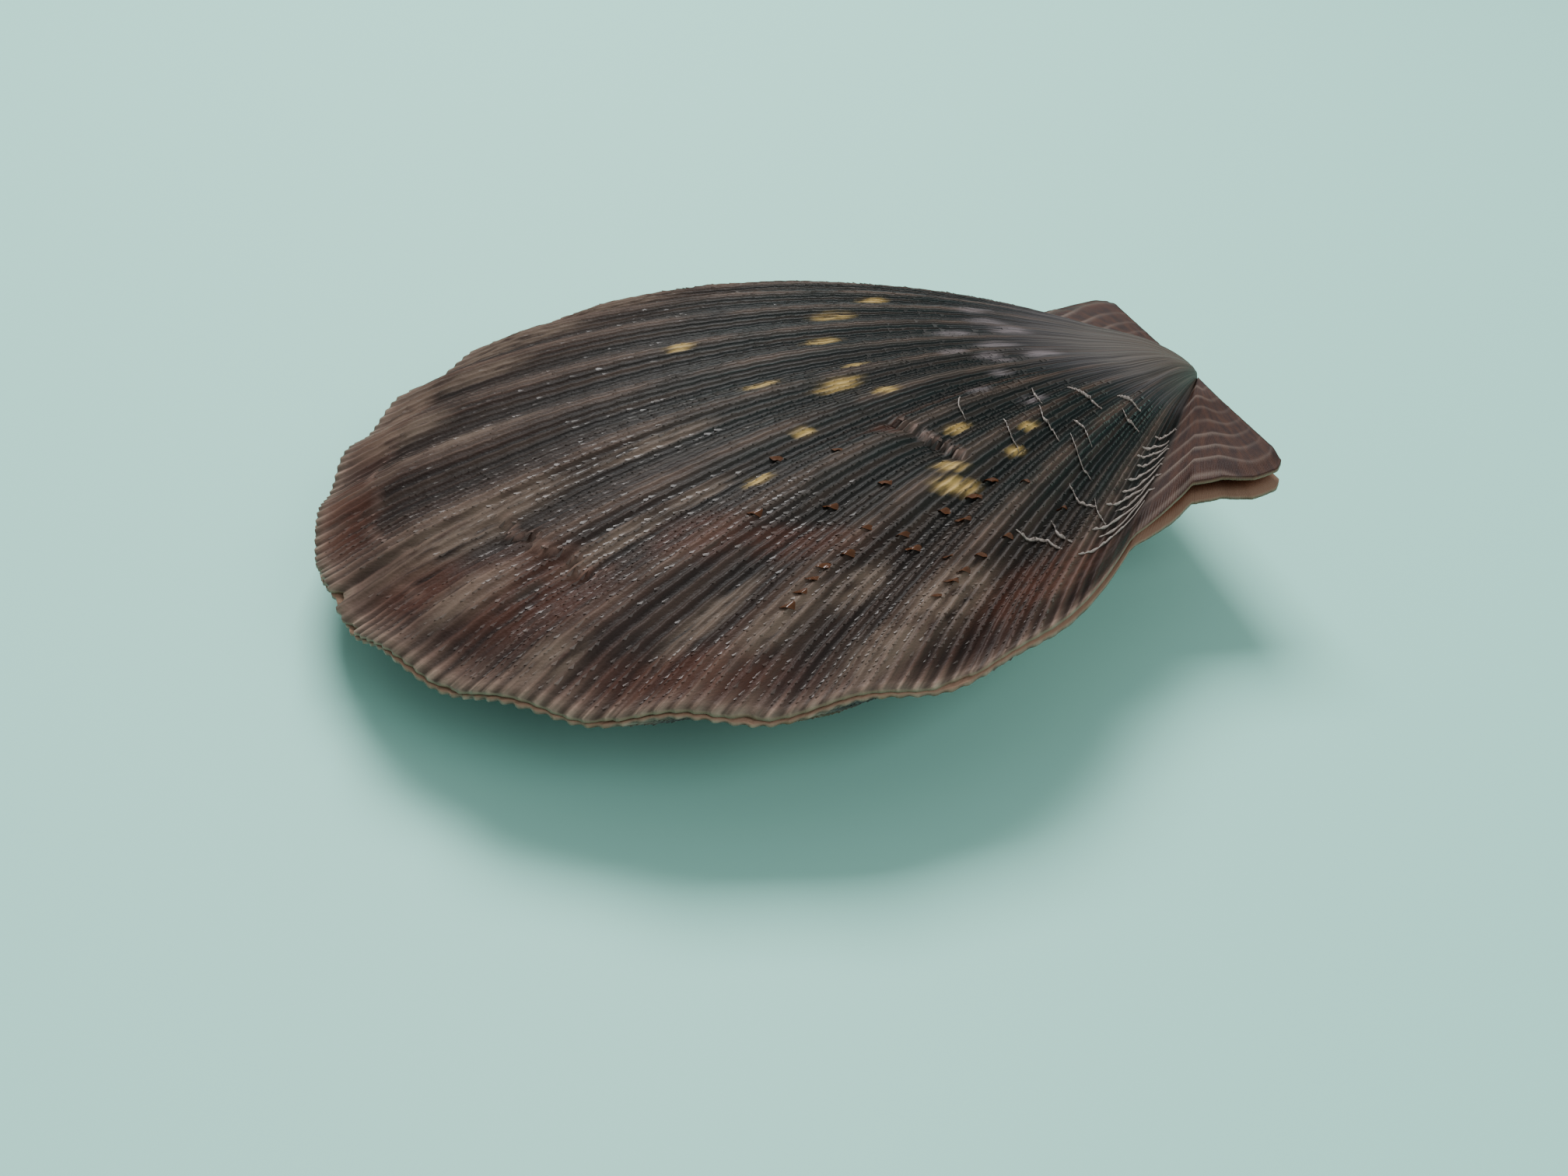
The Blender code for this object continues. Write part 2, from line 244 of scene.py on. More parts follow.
# Finishes.
SHELL_ROUGHNESS = (0.40, 0.3)  # least, and the most that fine noise adds
SHELL_GLOSS = 0.15
SCALE_ROUGHNESS = 0.32
SCALE_GLOSS = 0.18
SCALE_PALENESS = 0.09
SCALY_BUMP = 0.00006
MOTTLING = 900.0
MOTTLE_SHADE = (0.55, 0.5, 0.5)
EAR_BLEND = (6.35, 6.9)  # in folds from the middle, where the ears' colour takes over

# Stage.
FLOOR_HALF = 1.5
FLOOR_COLOUR = (0.32, 0.69, 0.60, 1.0)
WORLD_COLOUR = (0.86, 0.95, 0.93, 1.0)
WORLD_STRENGTH = 0.44
WHITE = (1.0, 1.0, 1.0)
KEY_LIGHT = ((-0.05, 0.20, 0.32), 0.20, 2.15)  # place, size, power
FILL_LIGHT = ((0.20, -0.26, 0.26), 0.24, 0.7)
NEAR_CLIP = 0.001


def eased_value(values, place):
    """Catmull-Rom curve through evenly spaced values, at places from 0 to 1."""
    values = np.asarray(values)
    last = len(values) - 1
    along = np.clip(place, 0.0, 1.0) * last
    start = np.minimum(along.astype(int), last - 1)
    t = along - start
    before = values[np.maximum(start - 1, 0)]
    first, second = values[start], values[start + 1]
    after = values[np.minimum(start + 2, last)]
    slope_in = (second - before) / 2
    slope_out = (after - first) / 2
    rise = first - second
    return first + t * (slope_in + t * (-3 * rise - 2 * slope_in - slope_out
                                        + t * (2 * rise + slope_in + slope_out)))


def disc_margin(angle):
    """Points of the disc's margin at angles about the disc's centre, in shell heights."""
    radius = eased_value(MARGIN_RADII, (angle + SHOULDER_ANGLE) / (2 * SHOULDER_ANGLE))
    return np.stack([radius * np.sin(angle), DISC_CENTRE + radius * np.cos(angle)], axis=-1)


def margin_point(ray, front_ear):
    """Points of a valve's margin on rays from the umbo, in shell heights."""
    ray = np.atleast_1d(np.asarray(ray, dtype=float))
    angles = np.linspace(-SHOULDER_ANGLE, SHOULDER_ANGLE, 4001)
    disc = disc_margin(angles)
    rear = np.array(REAR_EAR)[::-1]
    front = np.array(front_ear)
    points = np.concatenate([rear, disc, front])
    rays = np.arctan2(points[:, 0], points[:, 1])
    reach = np.hypot(points[:, 0], points[:, 1])
    at = np.interp(ray, rays, reach)
    return np.stack([at * np.sin(ray), at * np.cos(ray)], axis=-1)


def arch(growth):
    """Share of the full height of the arch along a ray."""
    crest = (ARCH_RISE / (ARCH_RISE + ARCH_FALL)) ** (1 / ARCH_FALL)
    full = crest ** ARCH_RISE * (1 - crest ** ARCH_FALL)
    return growth ** ARCH_RISE * (1 - growth ** ARCH_FALL) / full


def across(ray):
    """Share of the full height of the arch across the fan, 0 on the ears."""
    return 1 - np.minimum(np.abs(ray) / FAN_ANGLE, 1.0) ** ARCH_SIDES


def fold(ray, growth):
    """Height of the radial folds, up where the upper valve has a crest."""
    phase = ray / FOLD_ANGLE
    faded = np.clip((FOLDS / 2 + 0.25 - np.abs(phase)) / 0.5, 0.0, 1.0)
    return FOLD_HEIGHT / 2 * np.cos(2 * np.pi * phase) * growth ** 1.3 * faded


def lip_gap(ray, growth):
    """Half of the space between the two valves, which is wider at the ears and the ligament."""
    at_ear = (np.abs(ray) - FAN_ANGLE * 0.9) / (FAN_ANGLE * 0.2)
    beside = (np.abs(ray) / FAN_ANGLE - SIDE_START) / (SIDE_FULL - SIDE_START)
    room = LIGAMENT_ROOM + (SIDE_ROOM - LIGAMENT_ROOM) * np.clip(beside, 0.0, 1.0)
    at_ligament = (room - growth) / (room / 2)
    share = np.clip(np.maximum(at_ear, at_ligament), 0.0, 1.0)
    tight = 1 - (1 - TIGHT_GAP) * smooth_step(0.9, 1.0, growth) * (1 - share)
    return (MARGIN_GAP + (EAR_GAP - MARGIN_GAP) * share) / 2 * tight


def smooth_step(low, high, value):
    """0 below low, 1 above high, eased between."""
    t = np.clip((value - low) / (high - low), 0.0, 1.0)
    return t * t * (3 - 2 * t)


def wave_noise(x, y, seed):
    """Smooth noise from -1 to 1, as a sum of waves in fixed random directions."""
    rng = np.random.default_rng(seed)
    total = 0.0 * x
    for _ in range(7):
        turn = rng.uniform(0, 2 * np.pi)
        stretch = rng.uniform(0.6, 1.6)
        shift = rng.uniform(0, 2 * np.pi)
        total = total + np.sin(stretch * (x * np.cos(turn) + y * np.sin(turn)) + shift)
    return total / 4


def seed_for(seeds, up):
    """The upper valve's seed, which is the first of two, or the lower valve's."""
    return seeds[0] if up > 0 else seeds[1]


def spot_mask(ray, growth, spots):
    """How strongly places lie in soft oval spots, from 0 to 1."""
    degrees = np.degrees(ray)
    mask = 0.0 * ray
    for spot_ray, spot_growth, half_width, half_length in spots:
        away = (((degrees - spot_ray) / half_width) ** 2
                + ((growth - spot_growth) / half_length) ** 2)
        mask = np.maximum(mask, np.exp(-away * away * 0.7))
    return mask


def riblets(ray):
    """Riblets on the folds, from 0 in a groove to 1 on a crest."""
    phase = ray / FOLD_ANGLE * RIBLETS_PER_FOLD
    return 0.5 + 0.5 * np.cos(2 * np.pi * phase)


def broken_edges(ray, growth):
    """For the broken growth step and the crack: how far past it, how near, drop and reach."""
    degrees = np.degrees(ray)
    first, last, at, drop = GROWTH_STEP
    window = smooth_step(first, first + 2, degrees) * smooth_step(last, last - 2, degrees)
    step = at + 0.006 * np.sin(degrees * 1.7) + 0.003 * np.sin(degrees * 5.1)
    crack_rays = [place[0] for place in CRACK][::-1]
    crack_growths = [place[1] for place in CRACK][::-1]
    line = np.interp(degrees, crack_rays, crack_growths) + 0.002 * np.sin(degrees * 6)
    far_end, near_end = CRACK_FADE
    near = smooth_step(*far_end, degrees) * smooth_step(*near_end, degrees)
    return (growth - step, window, drop, STEP_REACH), (growth - line, near, CRACK_DROP, CRACK_REACH)


def ledges(ray, growth):
    """Drop of the surface just outside the broken growth step and the crack."""
    down = 0.0 * ray
    for past, near, drop, reach in broken_edges(ray, growth):
        down = down + np.where(past > 0, drop * np.exp(-np.maximum(past, 0) / reach), 0.0) * near
    return down


def pale_edges(ray, growth):
    """How strongly places lie on the pale edge above a ledge or on the pale growth line."""
    above, half_width = PALE_EDGE
    mask = 0.0 * ray
    for past, near, _, _ in broken_edges(ray, growth):
        mask = np.maximum(mask, near * np.exp(-((past + above) / half_width) ** 2))
    degrees = np.degrees(ray)
    first, last, at, half = PALE_LINE
    window = smooth_step(first, first + 3, degrees) * smooth_step(last, last - 3, degrees)
    away = (growth - at - 0.003 * np.sin(degrees * 0.8)) / half
    return np.maximum(mask, PALE_LINE_SHARE * window * np.exp(-away ** 2))


def outer_height(ray, growth, inflation):
    """Height of the outer face over the plane where the valves meet, without the folds."""
    on_ear = np.clip((np.abs(ray) - FAN_ANGLE) / 0.1, 0.0, 1.0)
    base = LIP_THICKNESS + (EAR_THICKNESS - LIP_THICKNESS) * on_ear
    base = base * (1 - (1 - THIN_LIP) * smooth_step(0.9, 1.0, growth))
    return lip_gap(ray, growth) + base + inflation * arch(growth) * across(ray)


def inner_height(ray, growth, inflation):
    """Height of the inner face, which ends at the lip and at the hinge plate."""
    wall = WALL_THICKNESS * np.minimum((1 - growth) * 6, 1.0)
    arched = inflation * arch(growth) * across(ray) - wall
    return lip_gap(ray, growth) + np.maximum(arched, 0.0)


def ear_share(ray):
    """How far out on an ear a ray is, from 0 on the fan to 1 at the hinge line."""
    return np.clip((np.abs(ray) - FAN_ANGLE) / (math.pi / 2 - FAN_ANGLE), 0.0, 1.0)


def ear_ridges(ray, growth):
    """Thin curved ridges on the ears, from 0 between them to 1 on a crest."""
    share = ear_share(ray)
    swerve = wave_noise(share * 11, growth * 7, RIDGE_BEND_SEED)
    bend = 0.25 * np.sin(share * 5 + 0.6) + 0.22 * swerve
    waves = 0.5 + 0.5 * np.cos(2 * np.pi * (growth * EAR_RIDGES + bend))
    breaks = wave_noise(share * 7, growth * 12, RIDGE_BREAK_SEED)
    broken = np.clip(0.75 + 0.5 * breaks, 0.15, 1.0)
    return waves ** 8 * broken * (1 - 0.65 * smooth_step(0.25, 0.85, share))


def relief(ray, growth, up):
    """Fine relief of the outer face."""
    seed = seed_for(RELIEF_SEEDS, up)
    in_folds = ray / FOLD_ANGLE
    on_fan = smooth_step(0.02, -0.06, np.abs(ray) - FAN_ANGLE)
    grown = smooth_step(0.10, 0.35, growth)
    rib = RIBLET_HEIGHT * riblets(ray) * grown * (1 - 0.45 * smooth_step(0.90, 1.0, growth))
    lumps = LUMP_HEIGHT * wave_noise(in_folds * 3, growth * 40, seed)
    swerve = wave_noise(in_folds, growth * 5, seed + 1)
    lines = GROWTH_LINE_HEIGHT * np.sin(growth * GROWTH_LINE_TURNS + 1.5 * swerve)
    fan = (rib + (lumps + lines) * grown) * on_fan
    ear = EAR_RIDGE_HEIGHT * ear_ridges(ray, growth) * smooth_step(0.0, 0.15, ear_share(ray))
    edge = smooth_step(1.0, 0.93, growth)
    height = fan + ear * smooth_step(0.1, 0.3, growth) * edge
    if up > 0:
        height = height - ledges(ray, growth)
    return height


def ragged_margin(ray, up):
    """How far the margin reaches along each ray, as a share: riblet tips, waves and chips."""
    seed = seed_for(MARGIN_SEEDS, up)
    in_folds = ray / FOLD_ANGLE
    teeth = TOOTH_DEPTH * (0.55 + 0.6 * wave_noise(in_folds * 3, 0 * ray, seed + 2))
    waves = MARGIN_WAVE * wave_noise(in_folds * 8, 0 * ray, seed)
    reach = 1 + teeth * (riblets(ray) - 0.5) + waves
    if up > 0:
        for chip_ray, half_width, depth in CHIPS:
            away = (np.degrees(ray) - chip_ray) / half_width
            reach = reach - depth * np.exp(-away ** 4)
    return reach


def valve_points(ray, growth, valve, outside=True):
    """Points of one face of a valve at the given rays and growths, in the shell's frame."""
    up = valve["up"]
    margin = margin_point(ray.ravel(), valve["front_ear"]).reshape(ray.shape + (2,))
    margin = margin * ragged_margin(ray, up)[..., None]
    if outside:
        height = outer_height(ray, growth, valve["inflation"]) + relief(ray, growth, up)
        share = 1.0
    else:
        height = inner_height(ray, growth, valve["inflation"])
        share = growth ** 2
    z = up * height + fold(ray, growth) * share
    flat = margin * growth[..., None] * SHELL_HEIGHT
    over = np.minimum(np.abs(z) / UPPER_INFLATION, 1.0) * BEAK_OVERHANG
    near_umbo = np.maximum(1 - growth * 5, 0.0)
    return np.stack([flat[..., 0], flat[..., 1] - over * near_umbo, z], axis=-1)


def station_rays():
    """Rays of the fine mesh: even on the fan, and on through the shoulders and the ears."""
    count = FOLDS * STATIONS_PER_FOLD
    fan = (np.arange(count + 1) - count / 2) * FOLD_ANGLE / STATIONS_PER_FOLD
    shoulder = np.linspace(FOLDS * FOLD_ANGLE / 2, FAN_ANGLE, SHOULDER_STATIONS + 1)[1:]
    ear = np.linspace(FAN_ANGLE, math.pi / 2, EAR_STATIONS + 1)[1:]
    side = np.concatenate([shoulder, ear])
    return np.concatenate([-side[::-1], fan, side])


def grid_faces(start, rings, stations, flip):
    """Quads of a grid of rings and stations whose points are numbered from start."""
    k, i = np.meshgrid(np.arange(rings - 1), np.arange(stations - 1), indexing="ij")
    a = start + k * stations + i
    quads = np.stack([a, a + 1, a + stations + 1, a + stations], axis=-1).reshape(-1, 4)
    return quads[:, ::-1] if flip else quads


def lie_matrix():
    """Turns the shell's frame into how it lies on the table."""
    return (Matrix.Rotation(TURN_ON_TABLE, 3, "Z")
            @ Matrix.Rotation(-HINGE_END_UP, 3, "X")
            @ Matrix.Rotation(REAR_SIDE_UP, 3, "Y"))


def shell_place():
    """Where the shell's own origin is, found from the box of the ligament's solid."""
    lie = lie_matrix()
    corners = []
    for z in (-LIGAMENT_HALF_THICKNESS, LIGAMENT_HALF_THICKNESS):
        for x, y in LIGAMENT_OUTLINE:
            corners.append(lie @ Vector((x * SHELL_HEIGHT, y * SHELL_HEIGHT, z)))
    low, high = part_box("hinge_ligament")
    place = Vector((0, 0, 0))
    for axis in range(3):
        own_low = min(corner[axis] for corner in corners)
        own_high = max(corner[axis] for corner in corners)
        place[axis] = (low[axis] + high[axis] - own_low - own_high) / 2
    return place


def place_on_table(points):
    """Points of the shell's frame as they lie on the table, none of them under it."""
    lie = np.array(lie_matrix())
    world = points @ lie.T + np.array(shell_place())
    world[:, 2] = np.maximum(world[:, 2], 0.0)
    return world


def add_piece(name, points, faces, labels):
    """A visible piece from points of the shell's frame, attached to the root body."""
    mesh = bpy.data.meshes.new(name)
    mesh.from_pydata(place_on_table(points).tolist(), [], faces)
    for label, values in labels:
        mesh.attributes.new(label, "FLOAT", "POINT").data.foreach_set("value", values)
    piece = bpy.data.objects.new(name, mesh)
    bpy.context.scene.collection.objects.link(piece)
    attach(piece, "root")
    return piece


def paint_labels(ray, growth, valve):
    """Attributes that the materials read: the place on the valve and the soft spots there."""
    labels = [("ray", ray / FOLD_ANGLE), ("growth", growth), ("ridge", ear_ridges(ray, growth))]
    if valve["up"] > 0:
        labels.append(("edge", pale_edges(ray, growth)))
    for label, spots in valve["spots"].items():
        labels.append((label, spot_mask(ray, growth, spots)))
    return labels


def build_valve(valve):
    """One valve's visible surface, which stands for its solid."""
    up = valve["up"]
    rays = station_rays()
    stations = len(rays)
    outer_growths = np.linspace(FIRST_GROWTH, 1.0, OUTER_RINGS)
    inner_growths = np.linspace(FIRST_GROWTH, 1.0, INNER_RINGS)[::-1]
    sheets = []
    for growths, outside in ((outer_growths, True), (inner_growths, False)):
        growth, ray = np.meshgrid(growths, rays, indexing="ij")
        sheets.append((valve_points(ray, growth, valve, outside), ray, growth))
    points = np.concatenate([sheet[0].reshape(-1, 3) for sheet in sheets])
    ray = np.concatenate([sheet[1].ravel() for sheet in sheets])
    growth = np.concatenate([sheet[2].ravel() for sheet in sheets])
    inside = np.repeat([0.0, 1.0], [OUTER_RINGS * stations, INNER_RINGS * stations])
    rings = OUTER_RINGS + INNER_RINGS
    # The hinge side is closed by a strip by the umbo and a face at each end of the hinge line.
    last = (rings - 1) * stations
    i = np.arange(stations - 1)
    cap = np.stack([last + i, last + i + 1, i + 1, i], axis=-1)
    faces = np.concatenate([grid_faces(0, rings, stations, up < 0),
                            cap[:, ::-1] if up < 0 else cap]).tolist()
    for end, turned in ((0, up > 0), (stations - 1, up < 0)):
        ring = [k * stations + end for k in range(rings)]
        faces.append(ring[::-1] if turned else ring)
    labels = paint_labels(ray, growth, valve) + [("inside", inside)]
    piece = add_piece(valve["node"] + "_surface", points, faces, labels)
    piece.data.shade_smooth()
    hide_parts(valve["node"])
    return piece


def flake_places(valve):
    """Rays and growths of the small scales that stand in rows on the riblets."""
    rng = np.random.default_rng(seed_for(FLAKE_ROW_SEEDS, valve["up"]))
    rows = FOLDS * RIBLETS_PER_FOLD
    on_riblets = [(k, FIRST_FLAKES) for k in range(rows)]
    between = [(k + 0.5, FIRST_BETWEEN) for k in range(rows)]
    rays = []
    growths = []
    for row, first_growth in on_riblets + between:
        ray = (row - rows / 2) * FOLD_ANGLE / RIBLETS_PER_FOLD
        growth = np.arange(first_growth + rng.uniform(0, 0.1), LAST_FLAKES, FLAKE_SPACING)
        growth = growth + rng.normal(0, FLAKE_SPACING * 0.2, len(growth))
        patch = wave_noise(0 * growth + ray / FOLD_ANGLE * 5, growth * 16, FLAKE_PATCH_SEED)
        few = 0.75 * smooth_step(-12, 8, np.degrees(ray)) if valve["up"] > 0 else 0.0
        kept = rng.uniform(0, 1, len(growth)) < (0.52 + 0.50 * patch) * (1 - few)
        growths.append(growth[kept])
        rays.append(np.full(kept.sum(), ray) + rng.normal(0, 0.0006, kept.sum()))
    return np.concatenate(rays), np.clip(np.concatenate(growths), 0, 0.995)


def build_flakes(valve):
    """Small closed scales, four faces each, on the riblets of a valve."""
    ray, growth = flake_places(valve)
    clear = place_on_table(valve_points(ray, growth, valve))[:, 2] > TABLE_CLEARANCE
    ray, growth = ray[clear], growth[clear]
    rng = np.random.default_rng(FLAKE_SIZE_SEED)
    size = rng.uniform(0.6, 1.25, len(ray))
    half_width = FLAKE_WIDTH / 2 * size / (growth * SHELL_HEIGHT)
    length = FLAKE_LENGTH * size / SHELL_HEIGHT
    back = valve_points(ray, growth - length, valve)
    left = valve_points(ray - half_width, growth, valve)
    right = valve_points(ray + half_width, growth, valve)
    tip = valve_points(ray, growth + length * FLAKE_TIP, valve)
    lift = valve["up"] * FLAKE_HEIGHT * size
    for foot in (back, left, right):
        foot[:, 2] -= lift * FLAKE_SINK
    tip[:, 2] += lift
    points = np.stack([back, left, right, tip], axis=1).reshape(-1, 3)
    start = np.arange(len(ray)) * 4
    pattern = ((0, 1, 3), (0, 3, 2), (1, 2, 3), (0, 2, 1))
    faces = np.concatenate([np.stack([start + k for k in face], axis=-1) for face in pattern])
    faces = faces if valve["up"] < 0 else faces[:, ::-1]
    labels = paint_labels(np.repeat(ray, 4), np.repeat(growth, 4), valve)
    name = valve["node"] + "_scales"
    return add_piece(name, points, faces.tolist(), labels)


def build_hoods(valve, places):
    """Hooded scales: arched, closed at the back and hollowed at the front."""
    arcs = HOOD_ARCS
    steps = HOOD_STEPS
    points = []
    faces = []
    rng = np.random.default_rng(HOOD_SEED)
    for degrees, growth in places:
        size = rng.uniform(0.75, 1.15)
        start = len(points)
        for k in range(steps):
            along = k / (steps - 1)
            wide = HOOD_WIDTH / 2 * size * math.sqrt(along + 0.02)
            tall = HOOD_HEIGHT * size * (along + 0.02) ** 0.7
            for j in range(arcs):
                turn = math.pi * j / (arcs - 1)
                ray = math.radians(degrees) + wide * math.cos(turn) / (growth * SHELL_HEIGHT)
                bow = 0.3 * math.sin(turn) * along
                at = growth + (along - 0.6 + bow) * HOOD_LENGTH * size / SHELL_HEIGHT
                place = valve_points(np.array([ray]), np.array([at]), valve)[0]
                place[2] += valve["up"] * (tall * math.sin(turn) - HOOD_SINK)
                points.append(place)
        inner = np.mean(points[-arcs:], axis=0)
        inner = inner + (np.mean(points[start:start + arcs], axis=0) - inner) * 0.45
        points.append(inner)
        faces += grid_faces(start, steps, arcs, valve["up"] > 0).tolist()
        front = start + (steps - 1) * arcs
        for j in range(arcs - 1):
            faces.append([front + j, front + j + 1, len(points) - 1][::valve["up"]])
        faces.append([front, len(points) - 1, front + arcs - 1][::valve["up"]])
        faces.append([start + j for j in range(arcs)][::valve["up"]])
        under = [start + k * arcs for k in range(steps)]
        under += [start + k * arcs + arcs - 1 for k in range(steps - 1, -1, -1)]
        faces.append(under[::valve["up"]])
    piece = add_piece(valve["node"] + "_hoods", np.array(points), faces, [])
    piece.data.shade_smooth()
    return piece


def wrinkle_lines():
    """Short wrinkles that cross from the flank of the disc to the rear ear."""
    rng = np.random.default_rng(WRINKLE_SEED)
    lines = []
    for growth in np.linspace(*WRINKLE_GROWTHS, WRINKLES):
        at = growth + rng.uniform(-0.008, 0.008)
        ray = -52.2 + rng.uniform(-0.8, 0.8)
        lines.append(((ray, at), (ray - 1.3, at + 0.016), (ray - 2.6, at + 0.004),
                      (ray - 4.4, at + 0.024)))
    return tuple(lines)


def build_blades(valve, lines, sizes):
    """Thin raised lamellae with a ragged crest along lines on a valve."""
    samples = BLADE_SAMPLES
    points = []
    faces = []
    for number, line in enumerate(lines):
        rays = np.array([place[0] for place in line])
        growths = np.array([place[1] for place in line])
        t = np.linspace(0, 1, samples)
        knots = np.linspace(0, 1, len(line))
        ray = np.radians(np.interp(t, knots, rays))
        growth = np.interp(t, knots, growths)
        growth = growth + 0.0003 * wave_noise(t * 12, 0 * t, BLADE_WAVE_SEED + number)
        full_height, thickness = sizes[number]
        tall = full_height * np.sin(np.pi * np.clip(t, 0.03, 0.97)) ** 0.5
        tall = tall * (0.8 + 0.3 * wave_noise(t * 45, 0 * t, BLADE_CREST_SEED + number))
        half = thickness / 2 / SHELL_HEIGHT
        near = valve_points(ray, growth - half, valve)
        far = valve_points(ray, growth + half, valve)
        top = valve_points(ray, growth + half * 1.2, valve)
        near[:, 2] -= valve["up"] * BLADE_SINK
        far[:, 2] -= valve["up"] * BLADE_SINK
        # The crest runs straight over the riblets.
        padded = np.pad(top[:, 2], CREST_SPAN // 2, mode="edge")
        top[:, 2] = np.convolve(padded, np.full(CREST_SPAN, 1 / CREST_SPAN), "valid")
        top[:, 2] += valve["up"] * tall
        start = len(points)
        for k in range(samples):
            points += [near[k], top[k], far[k]]
        for k in range(samples - 1):
            a = start + 3 * k
            for one, two in ((0, 1), (1, 2), (2, 0)):
                faces.append([a + one, a + 3 + one, a + 3 + two, a + two][::valve["up"]])
        faces.append([start, start + 1, start + 2][::valve["up"]])
        end = start + 3 * (samples - 1)
        faces.append([end, end + 2, end + 1][::valve["up"]])
    piece = add_piece(valve["node"] + "_lamellae", np.array(points), faces, [])
    piece.data.shade_smooth()
    return piece


def put(tree, socket, value):
    """Links an output to an input, or sets the input's own value."""
    if isinstance(value, bpy.types.NodeSocket):
        tree.links.new(value, socket)
    else:
        socket.default_value = value


def calc(tree, operation, first, second=0.0, third=0.0):
    """A number worked out from up to three others."""
    node = tree.nodes.new("ShaderNodeMath")
    node.operation = operation
    for socket, value in zip(node.inputs, (first, second, third)):
        put(tree, socket, value)
    return node.outputs[0]


def blend(tree, factor, first, second, mode="MIX"):
    """Two colours blended."""
    node = tree.nodes.new("ShaderNodeMix")
    node.data_type = "RGBA"
    node.blend_type = mode
    put(tree, node.inputs["Factor"], factor)
    put(tree, node.inputs["A"], first)
    put(tree, node.inputs["B"], second)
    return node.outputs["Result"]


def read(tree, name):
    """The value of one of the mesh's attributes."""
    node = tree.nodes.new("ShaderNodeAttribute")
    node.attribute_name = name
    return node.outputs["Fac"]


def noise(tree, ray, growth, ray_scale, growth_scale, detail=3.0, seed=0.0):
    """Noise stretched over the valve by its own scales along and across the rays."""
    place = tree.nodes.new("ShaderNodeCombineXYZ")
    put(tree, place.inputs["X"], calc(tree, "MULTIPLY", ray, ray_scale))
    put(tree, place.inputs["Y"], calc(tree, "MULTIPLY", growth, growth_scale))
    place.inputs["Z"].default_value = seed
    node = tree.nodes.new("ShaderNodeTexNoise")
    put(tree, node.inputs["Vector"], place.outputs[0])
    node.inputs["Scale"].default_value = 1.0
    node.inputs["Detail"].default_value = detail
    return node.outputs["Fac"]


def ramp(tree, value, stops):
    """A colour from a value through (place, colour) stops."""
    node = tree.nodes.new("ShaderNodeValToRGB")
    elements = node.color_ramp.elements
    while len(elements) < len(stops):
        elements.new(0.5)
    for element, (place, colour) in zip(elements, stops):
        element.position = place
        element.color = colour
    put(tree, node.inputs[0], value)
    return node.outputs["Color"]


def grey_ramp(tree, value, low, high):
    """0 below low and 1 above high."""
    node = tree.nodes.new("ShaderNodeMapRange")
    node.interpolation_type = "SMOOTHSTEP"
    put(tree, node.inputs["Value"], value)
    node.inputs["From Min"].default_value = low
    node.inputs["From Max"].default_value = high
    return node.outputs["Result"]


def cosine(tree, ray, waves):
    """Cosine across the rays, from 0 to 1."""
    turned = calc(tree, "COSINE", calc(tree, "MULTIPLY", ray, 2 * math.pi * waves))
    return calc(tree, "MULTIPLY_ADD", turned, 0.5, 0.5)


def rgb(red, green, blue):
    """An opaque colour."""
    return (red, green, blue, 1.0)


PATCH_SHADE = rgb(0.45, 0.45, 0.45)
# Painted shade: grey that darkens the valleys between the folds.
VALLEY_PAINTED_SHADE = rgb(0.55, 0.60, 0.60)
# Painted shade: grey that darkens the grooves between riblets, and how strongly.
GROOVE_PAINTED_SHADE = rgb(0.22, 0.21, 0.21)
GROOVE_PAINTED_SHADE_SHARE = 0.70
HOOD_COLOUR = rgb(0.080, 0.030, 0.011)
HOOD_ROUGHNESS = 0.16
LAMELLA_COLOUR = rgb(0.36, 0.32, 0.29)
LAMELLA_ROUGHNESS = 0.35
LIGAMENT_COLOUR = rgb(0.10, 0.035, 0.015)
LIGAMENT_ROUGHNESS = 0.5
PLAIN_GLOSS = 0.3
UPPER_ZONES = (
    (0.00, rgb(0.120, 0.094, 0.074)), (0.11, rgb(0.092, 0.080, 0.072)),
    (0.21, rgb(0.052, 0.050, 0.053)), (0.30, rgb(0.012, 0.024, 0.024)),
    (0.55, rgb(0.014, 0.021, 0.019)), (0.72, rgb(0.032, 0.019, 0.014)),
    (0.86, rgb(0.042, 0.020, 0.014)), (0.960, rgb(0.055, 0.027, 0.021)),
    (0.985, rgb(0.160, 0.100, 0.078)), (1.00, rgb(0.350, 0.250, 0.195)),
)
LOWER_ZONES = (
    (0.00, rgb(0.130, 0.115, 0.070)), (0.12, rgb(0.085, 0.072, 0.045)),
    (0.28, rgb(0.120, 0.070, 0.015)), (0.45, rgb(0.060, 0.028, 0.009)),
    (0.70, rgb(0.052, 0.024, 0.014)), (0.88, rgb(0.075, 0.045, 0.040)),
    (0.945, rgb(0.092, 0.076, 0.080)), (0.975, rgb(0.200, 0.135, 0.110)),
    (1.00, rgb(0.330, 0.235, 0.185)),
)


def zone_colour(tree, ray, growth, look):
    """Growth zones with shifted borders, radial streaks and darker patches."""
    mottle = noise(tree, ray, growth, 3.0, 9.0, 4.0, look["seed"])
    shifted = calc(tree, "ADD", growth, calc(tree, "MULTIPLY_ADD", mottle, 0.16, -0.08))
    edge = grey_ramp(tree, growth, 0.93, 0.97)
    colour = ramp(tree, blend(tree, edge, shifted, growth), look["zones"])
    streaks = noise(tree, ray, growth, 9.0, 1.6, 5.0, look["seed"] + 2.0)
    colour = blend(tree, grey_ramp(tree, streaks, 0.54, 0.78), colour, look["streak"])
    dark = noise(tree, ray, growth, 16.0, 4.0, 4.0, look["seed"] + 5.0)
    return blend(tree, grey_ramp(tree, dark, 0.62, 0.42), colour, PATCH_SHADE, "MULTIPLY")


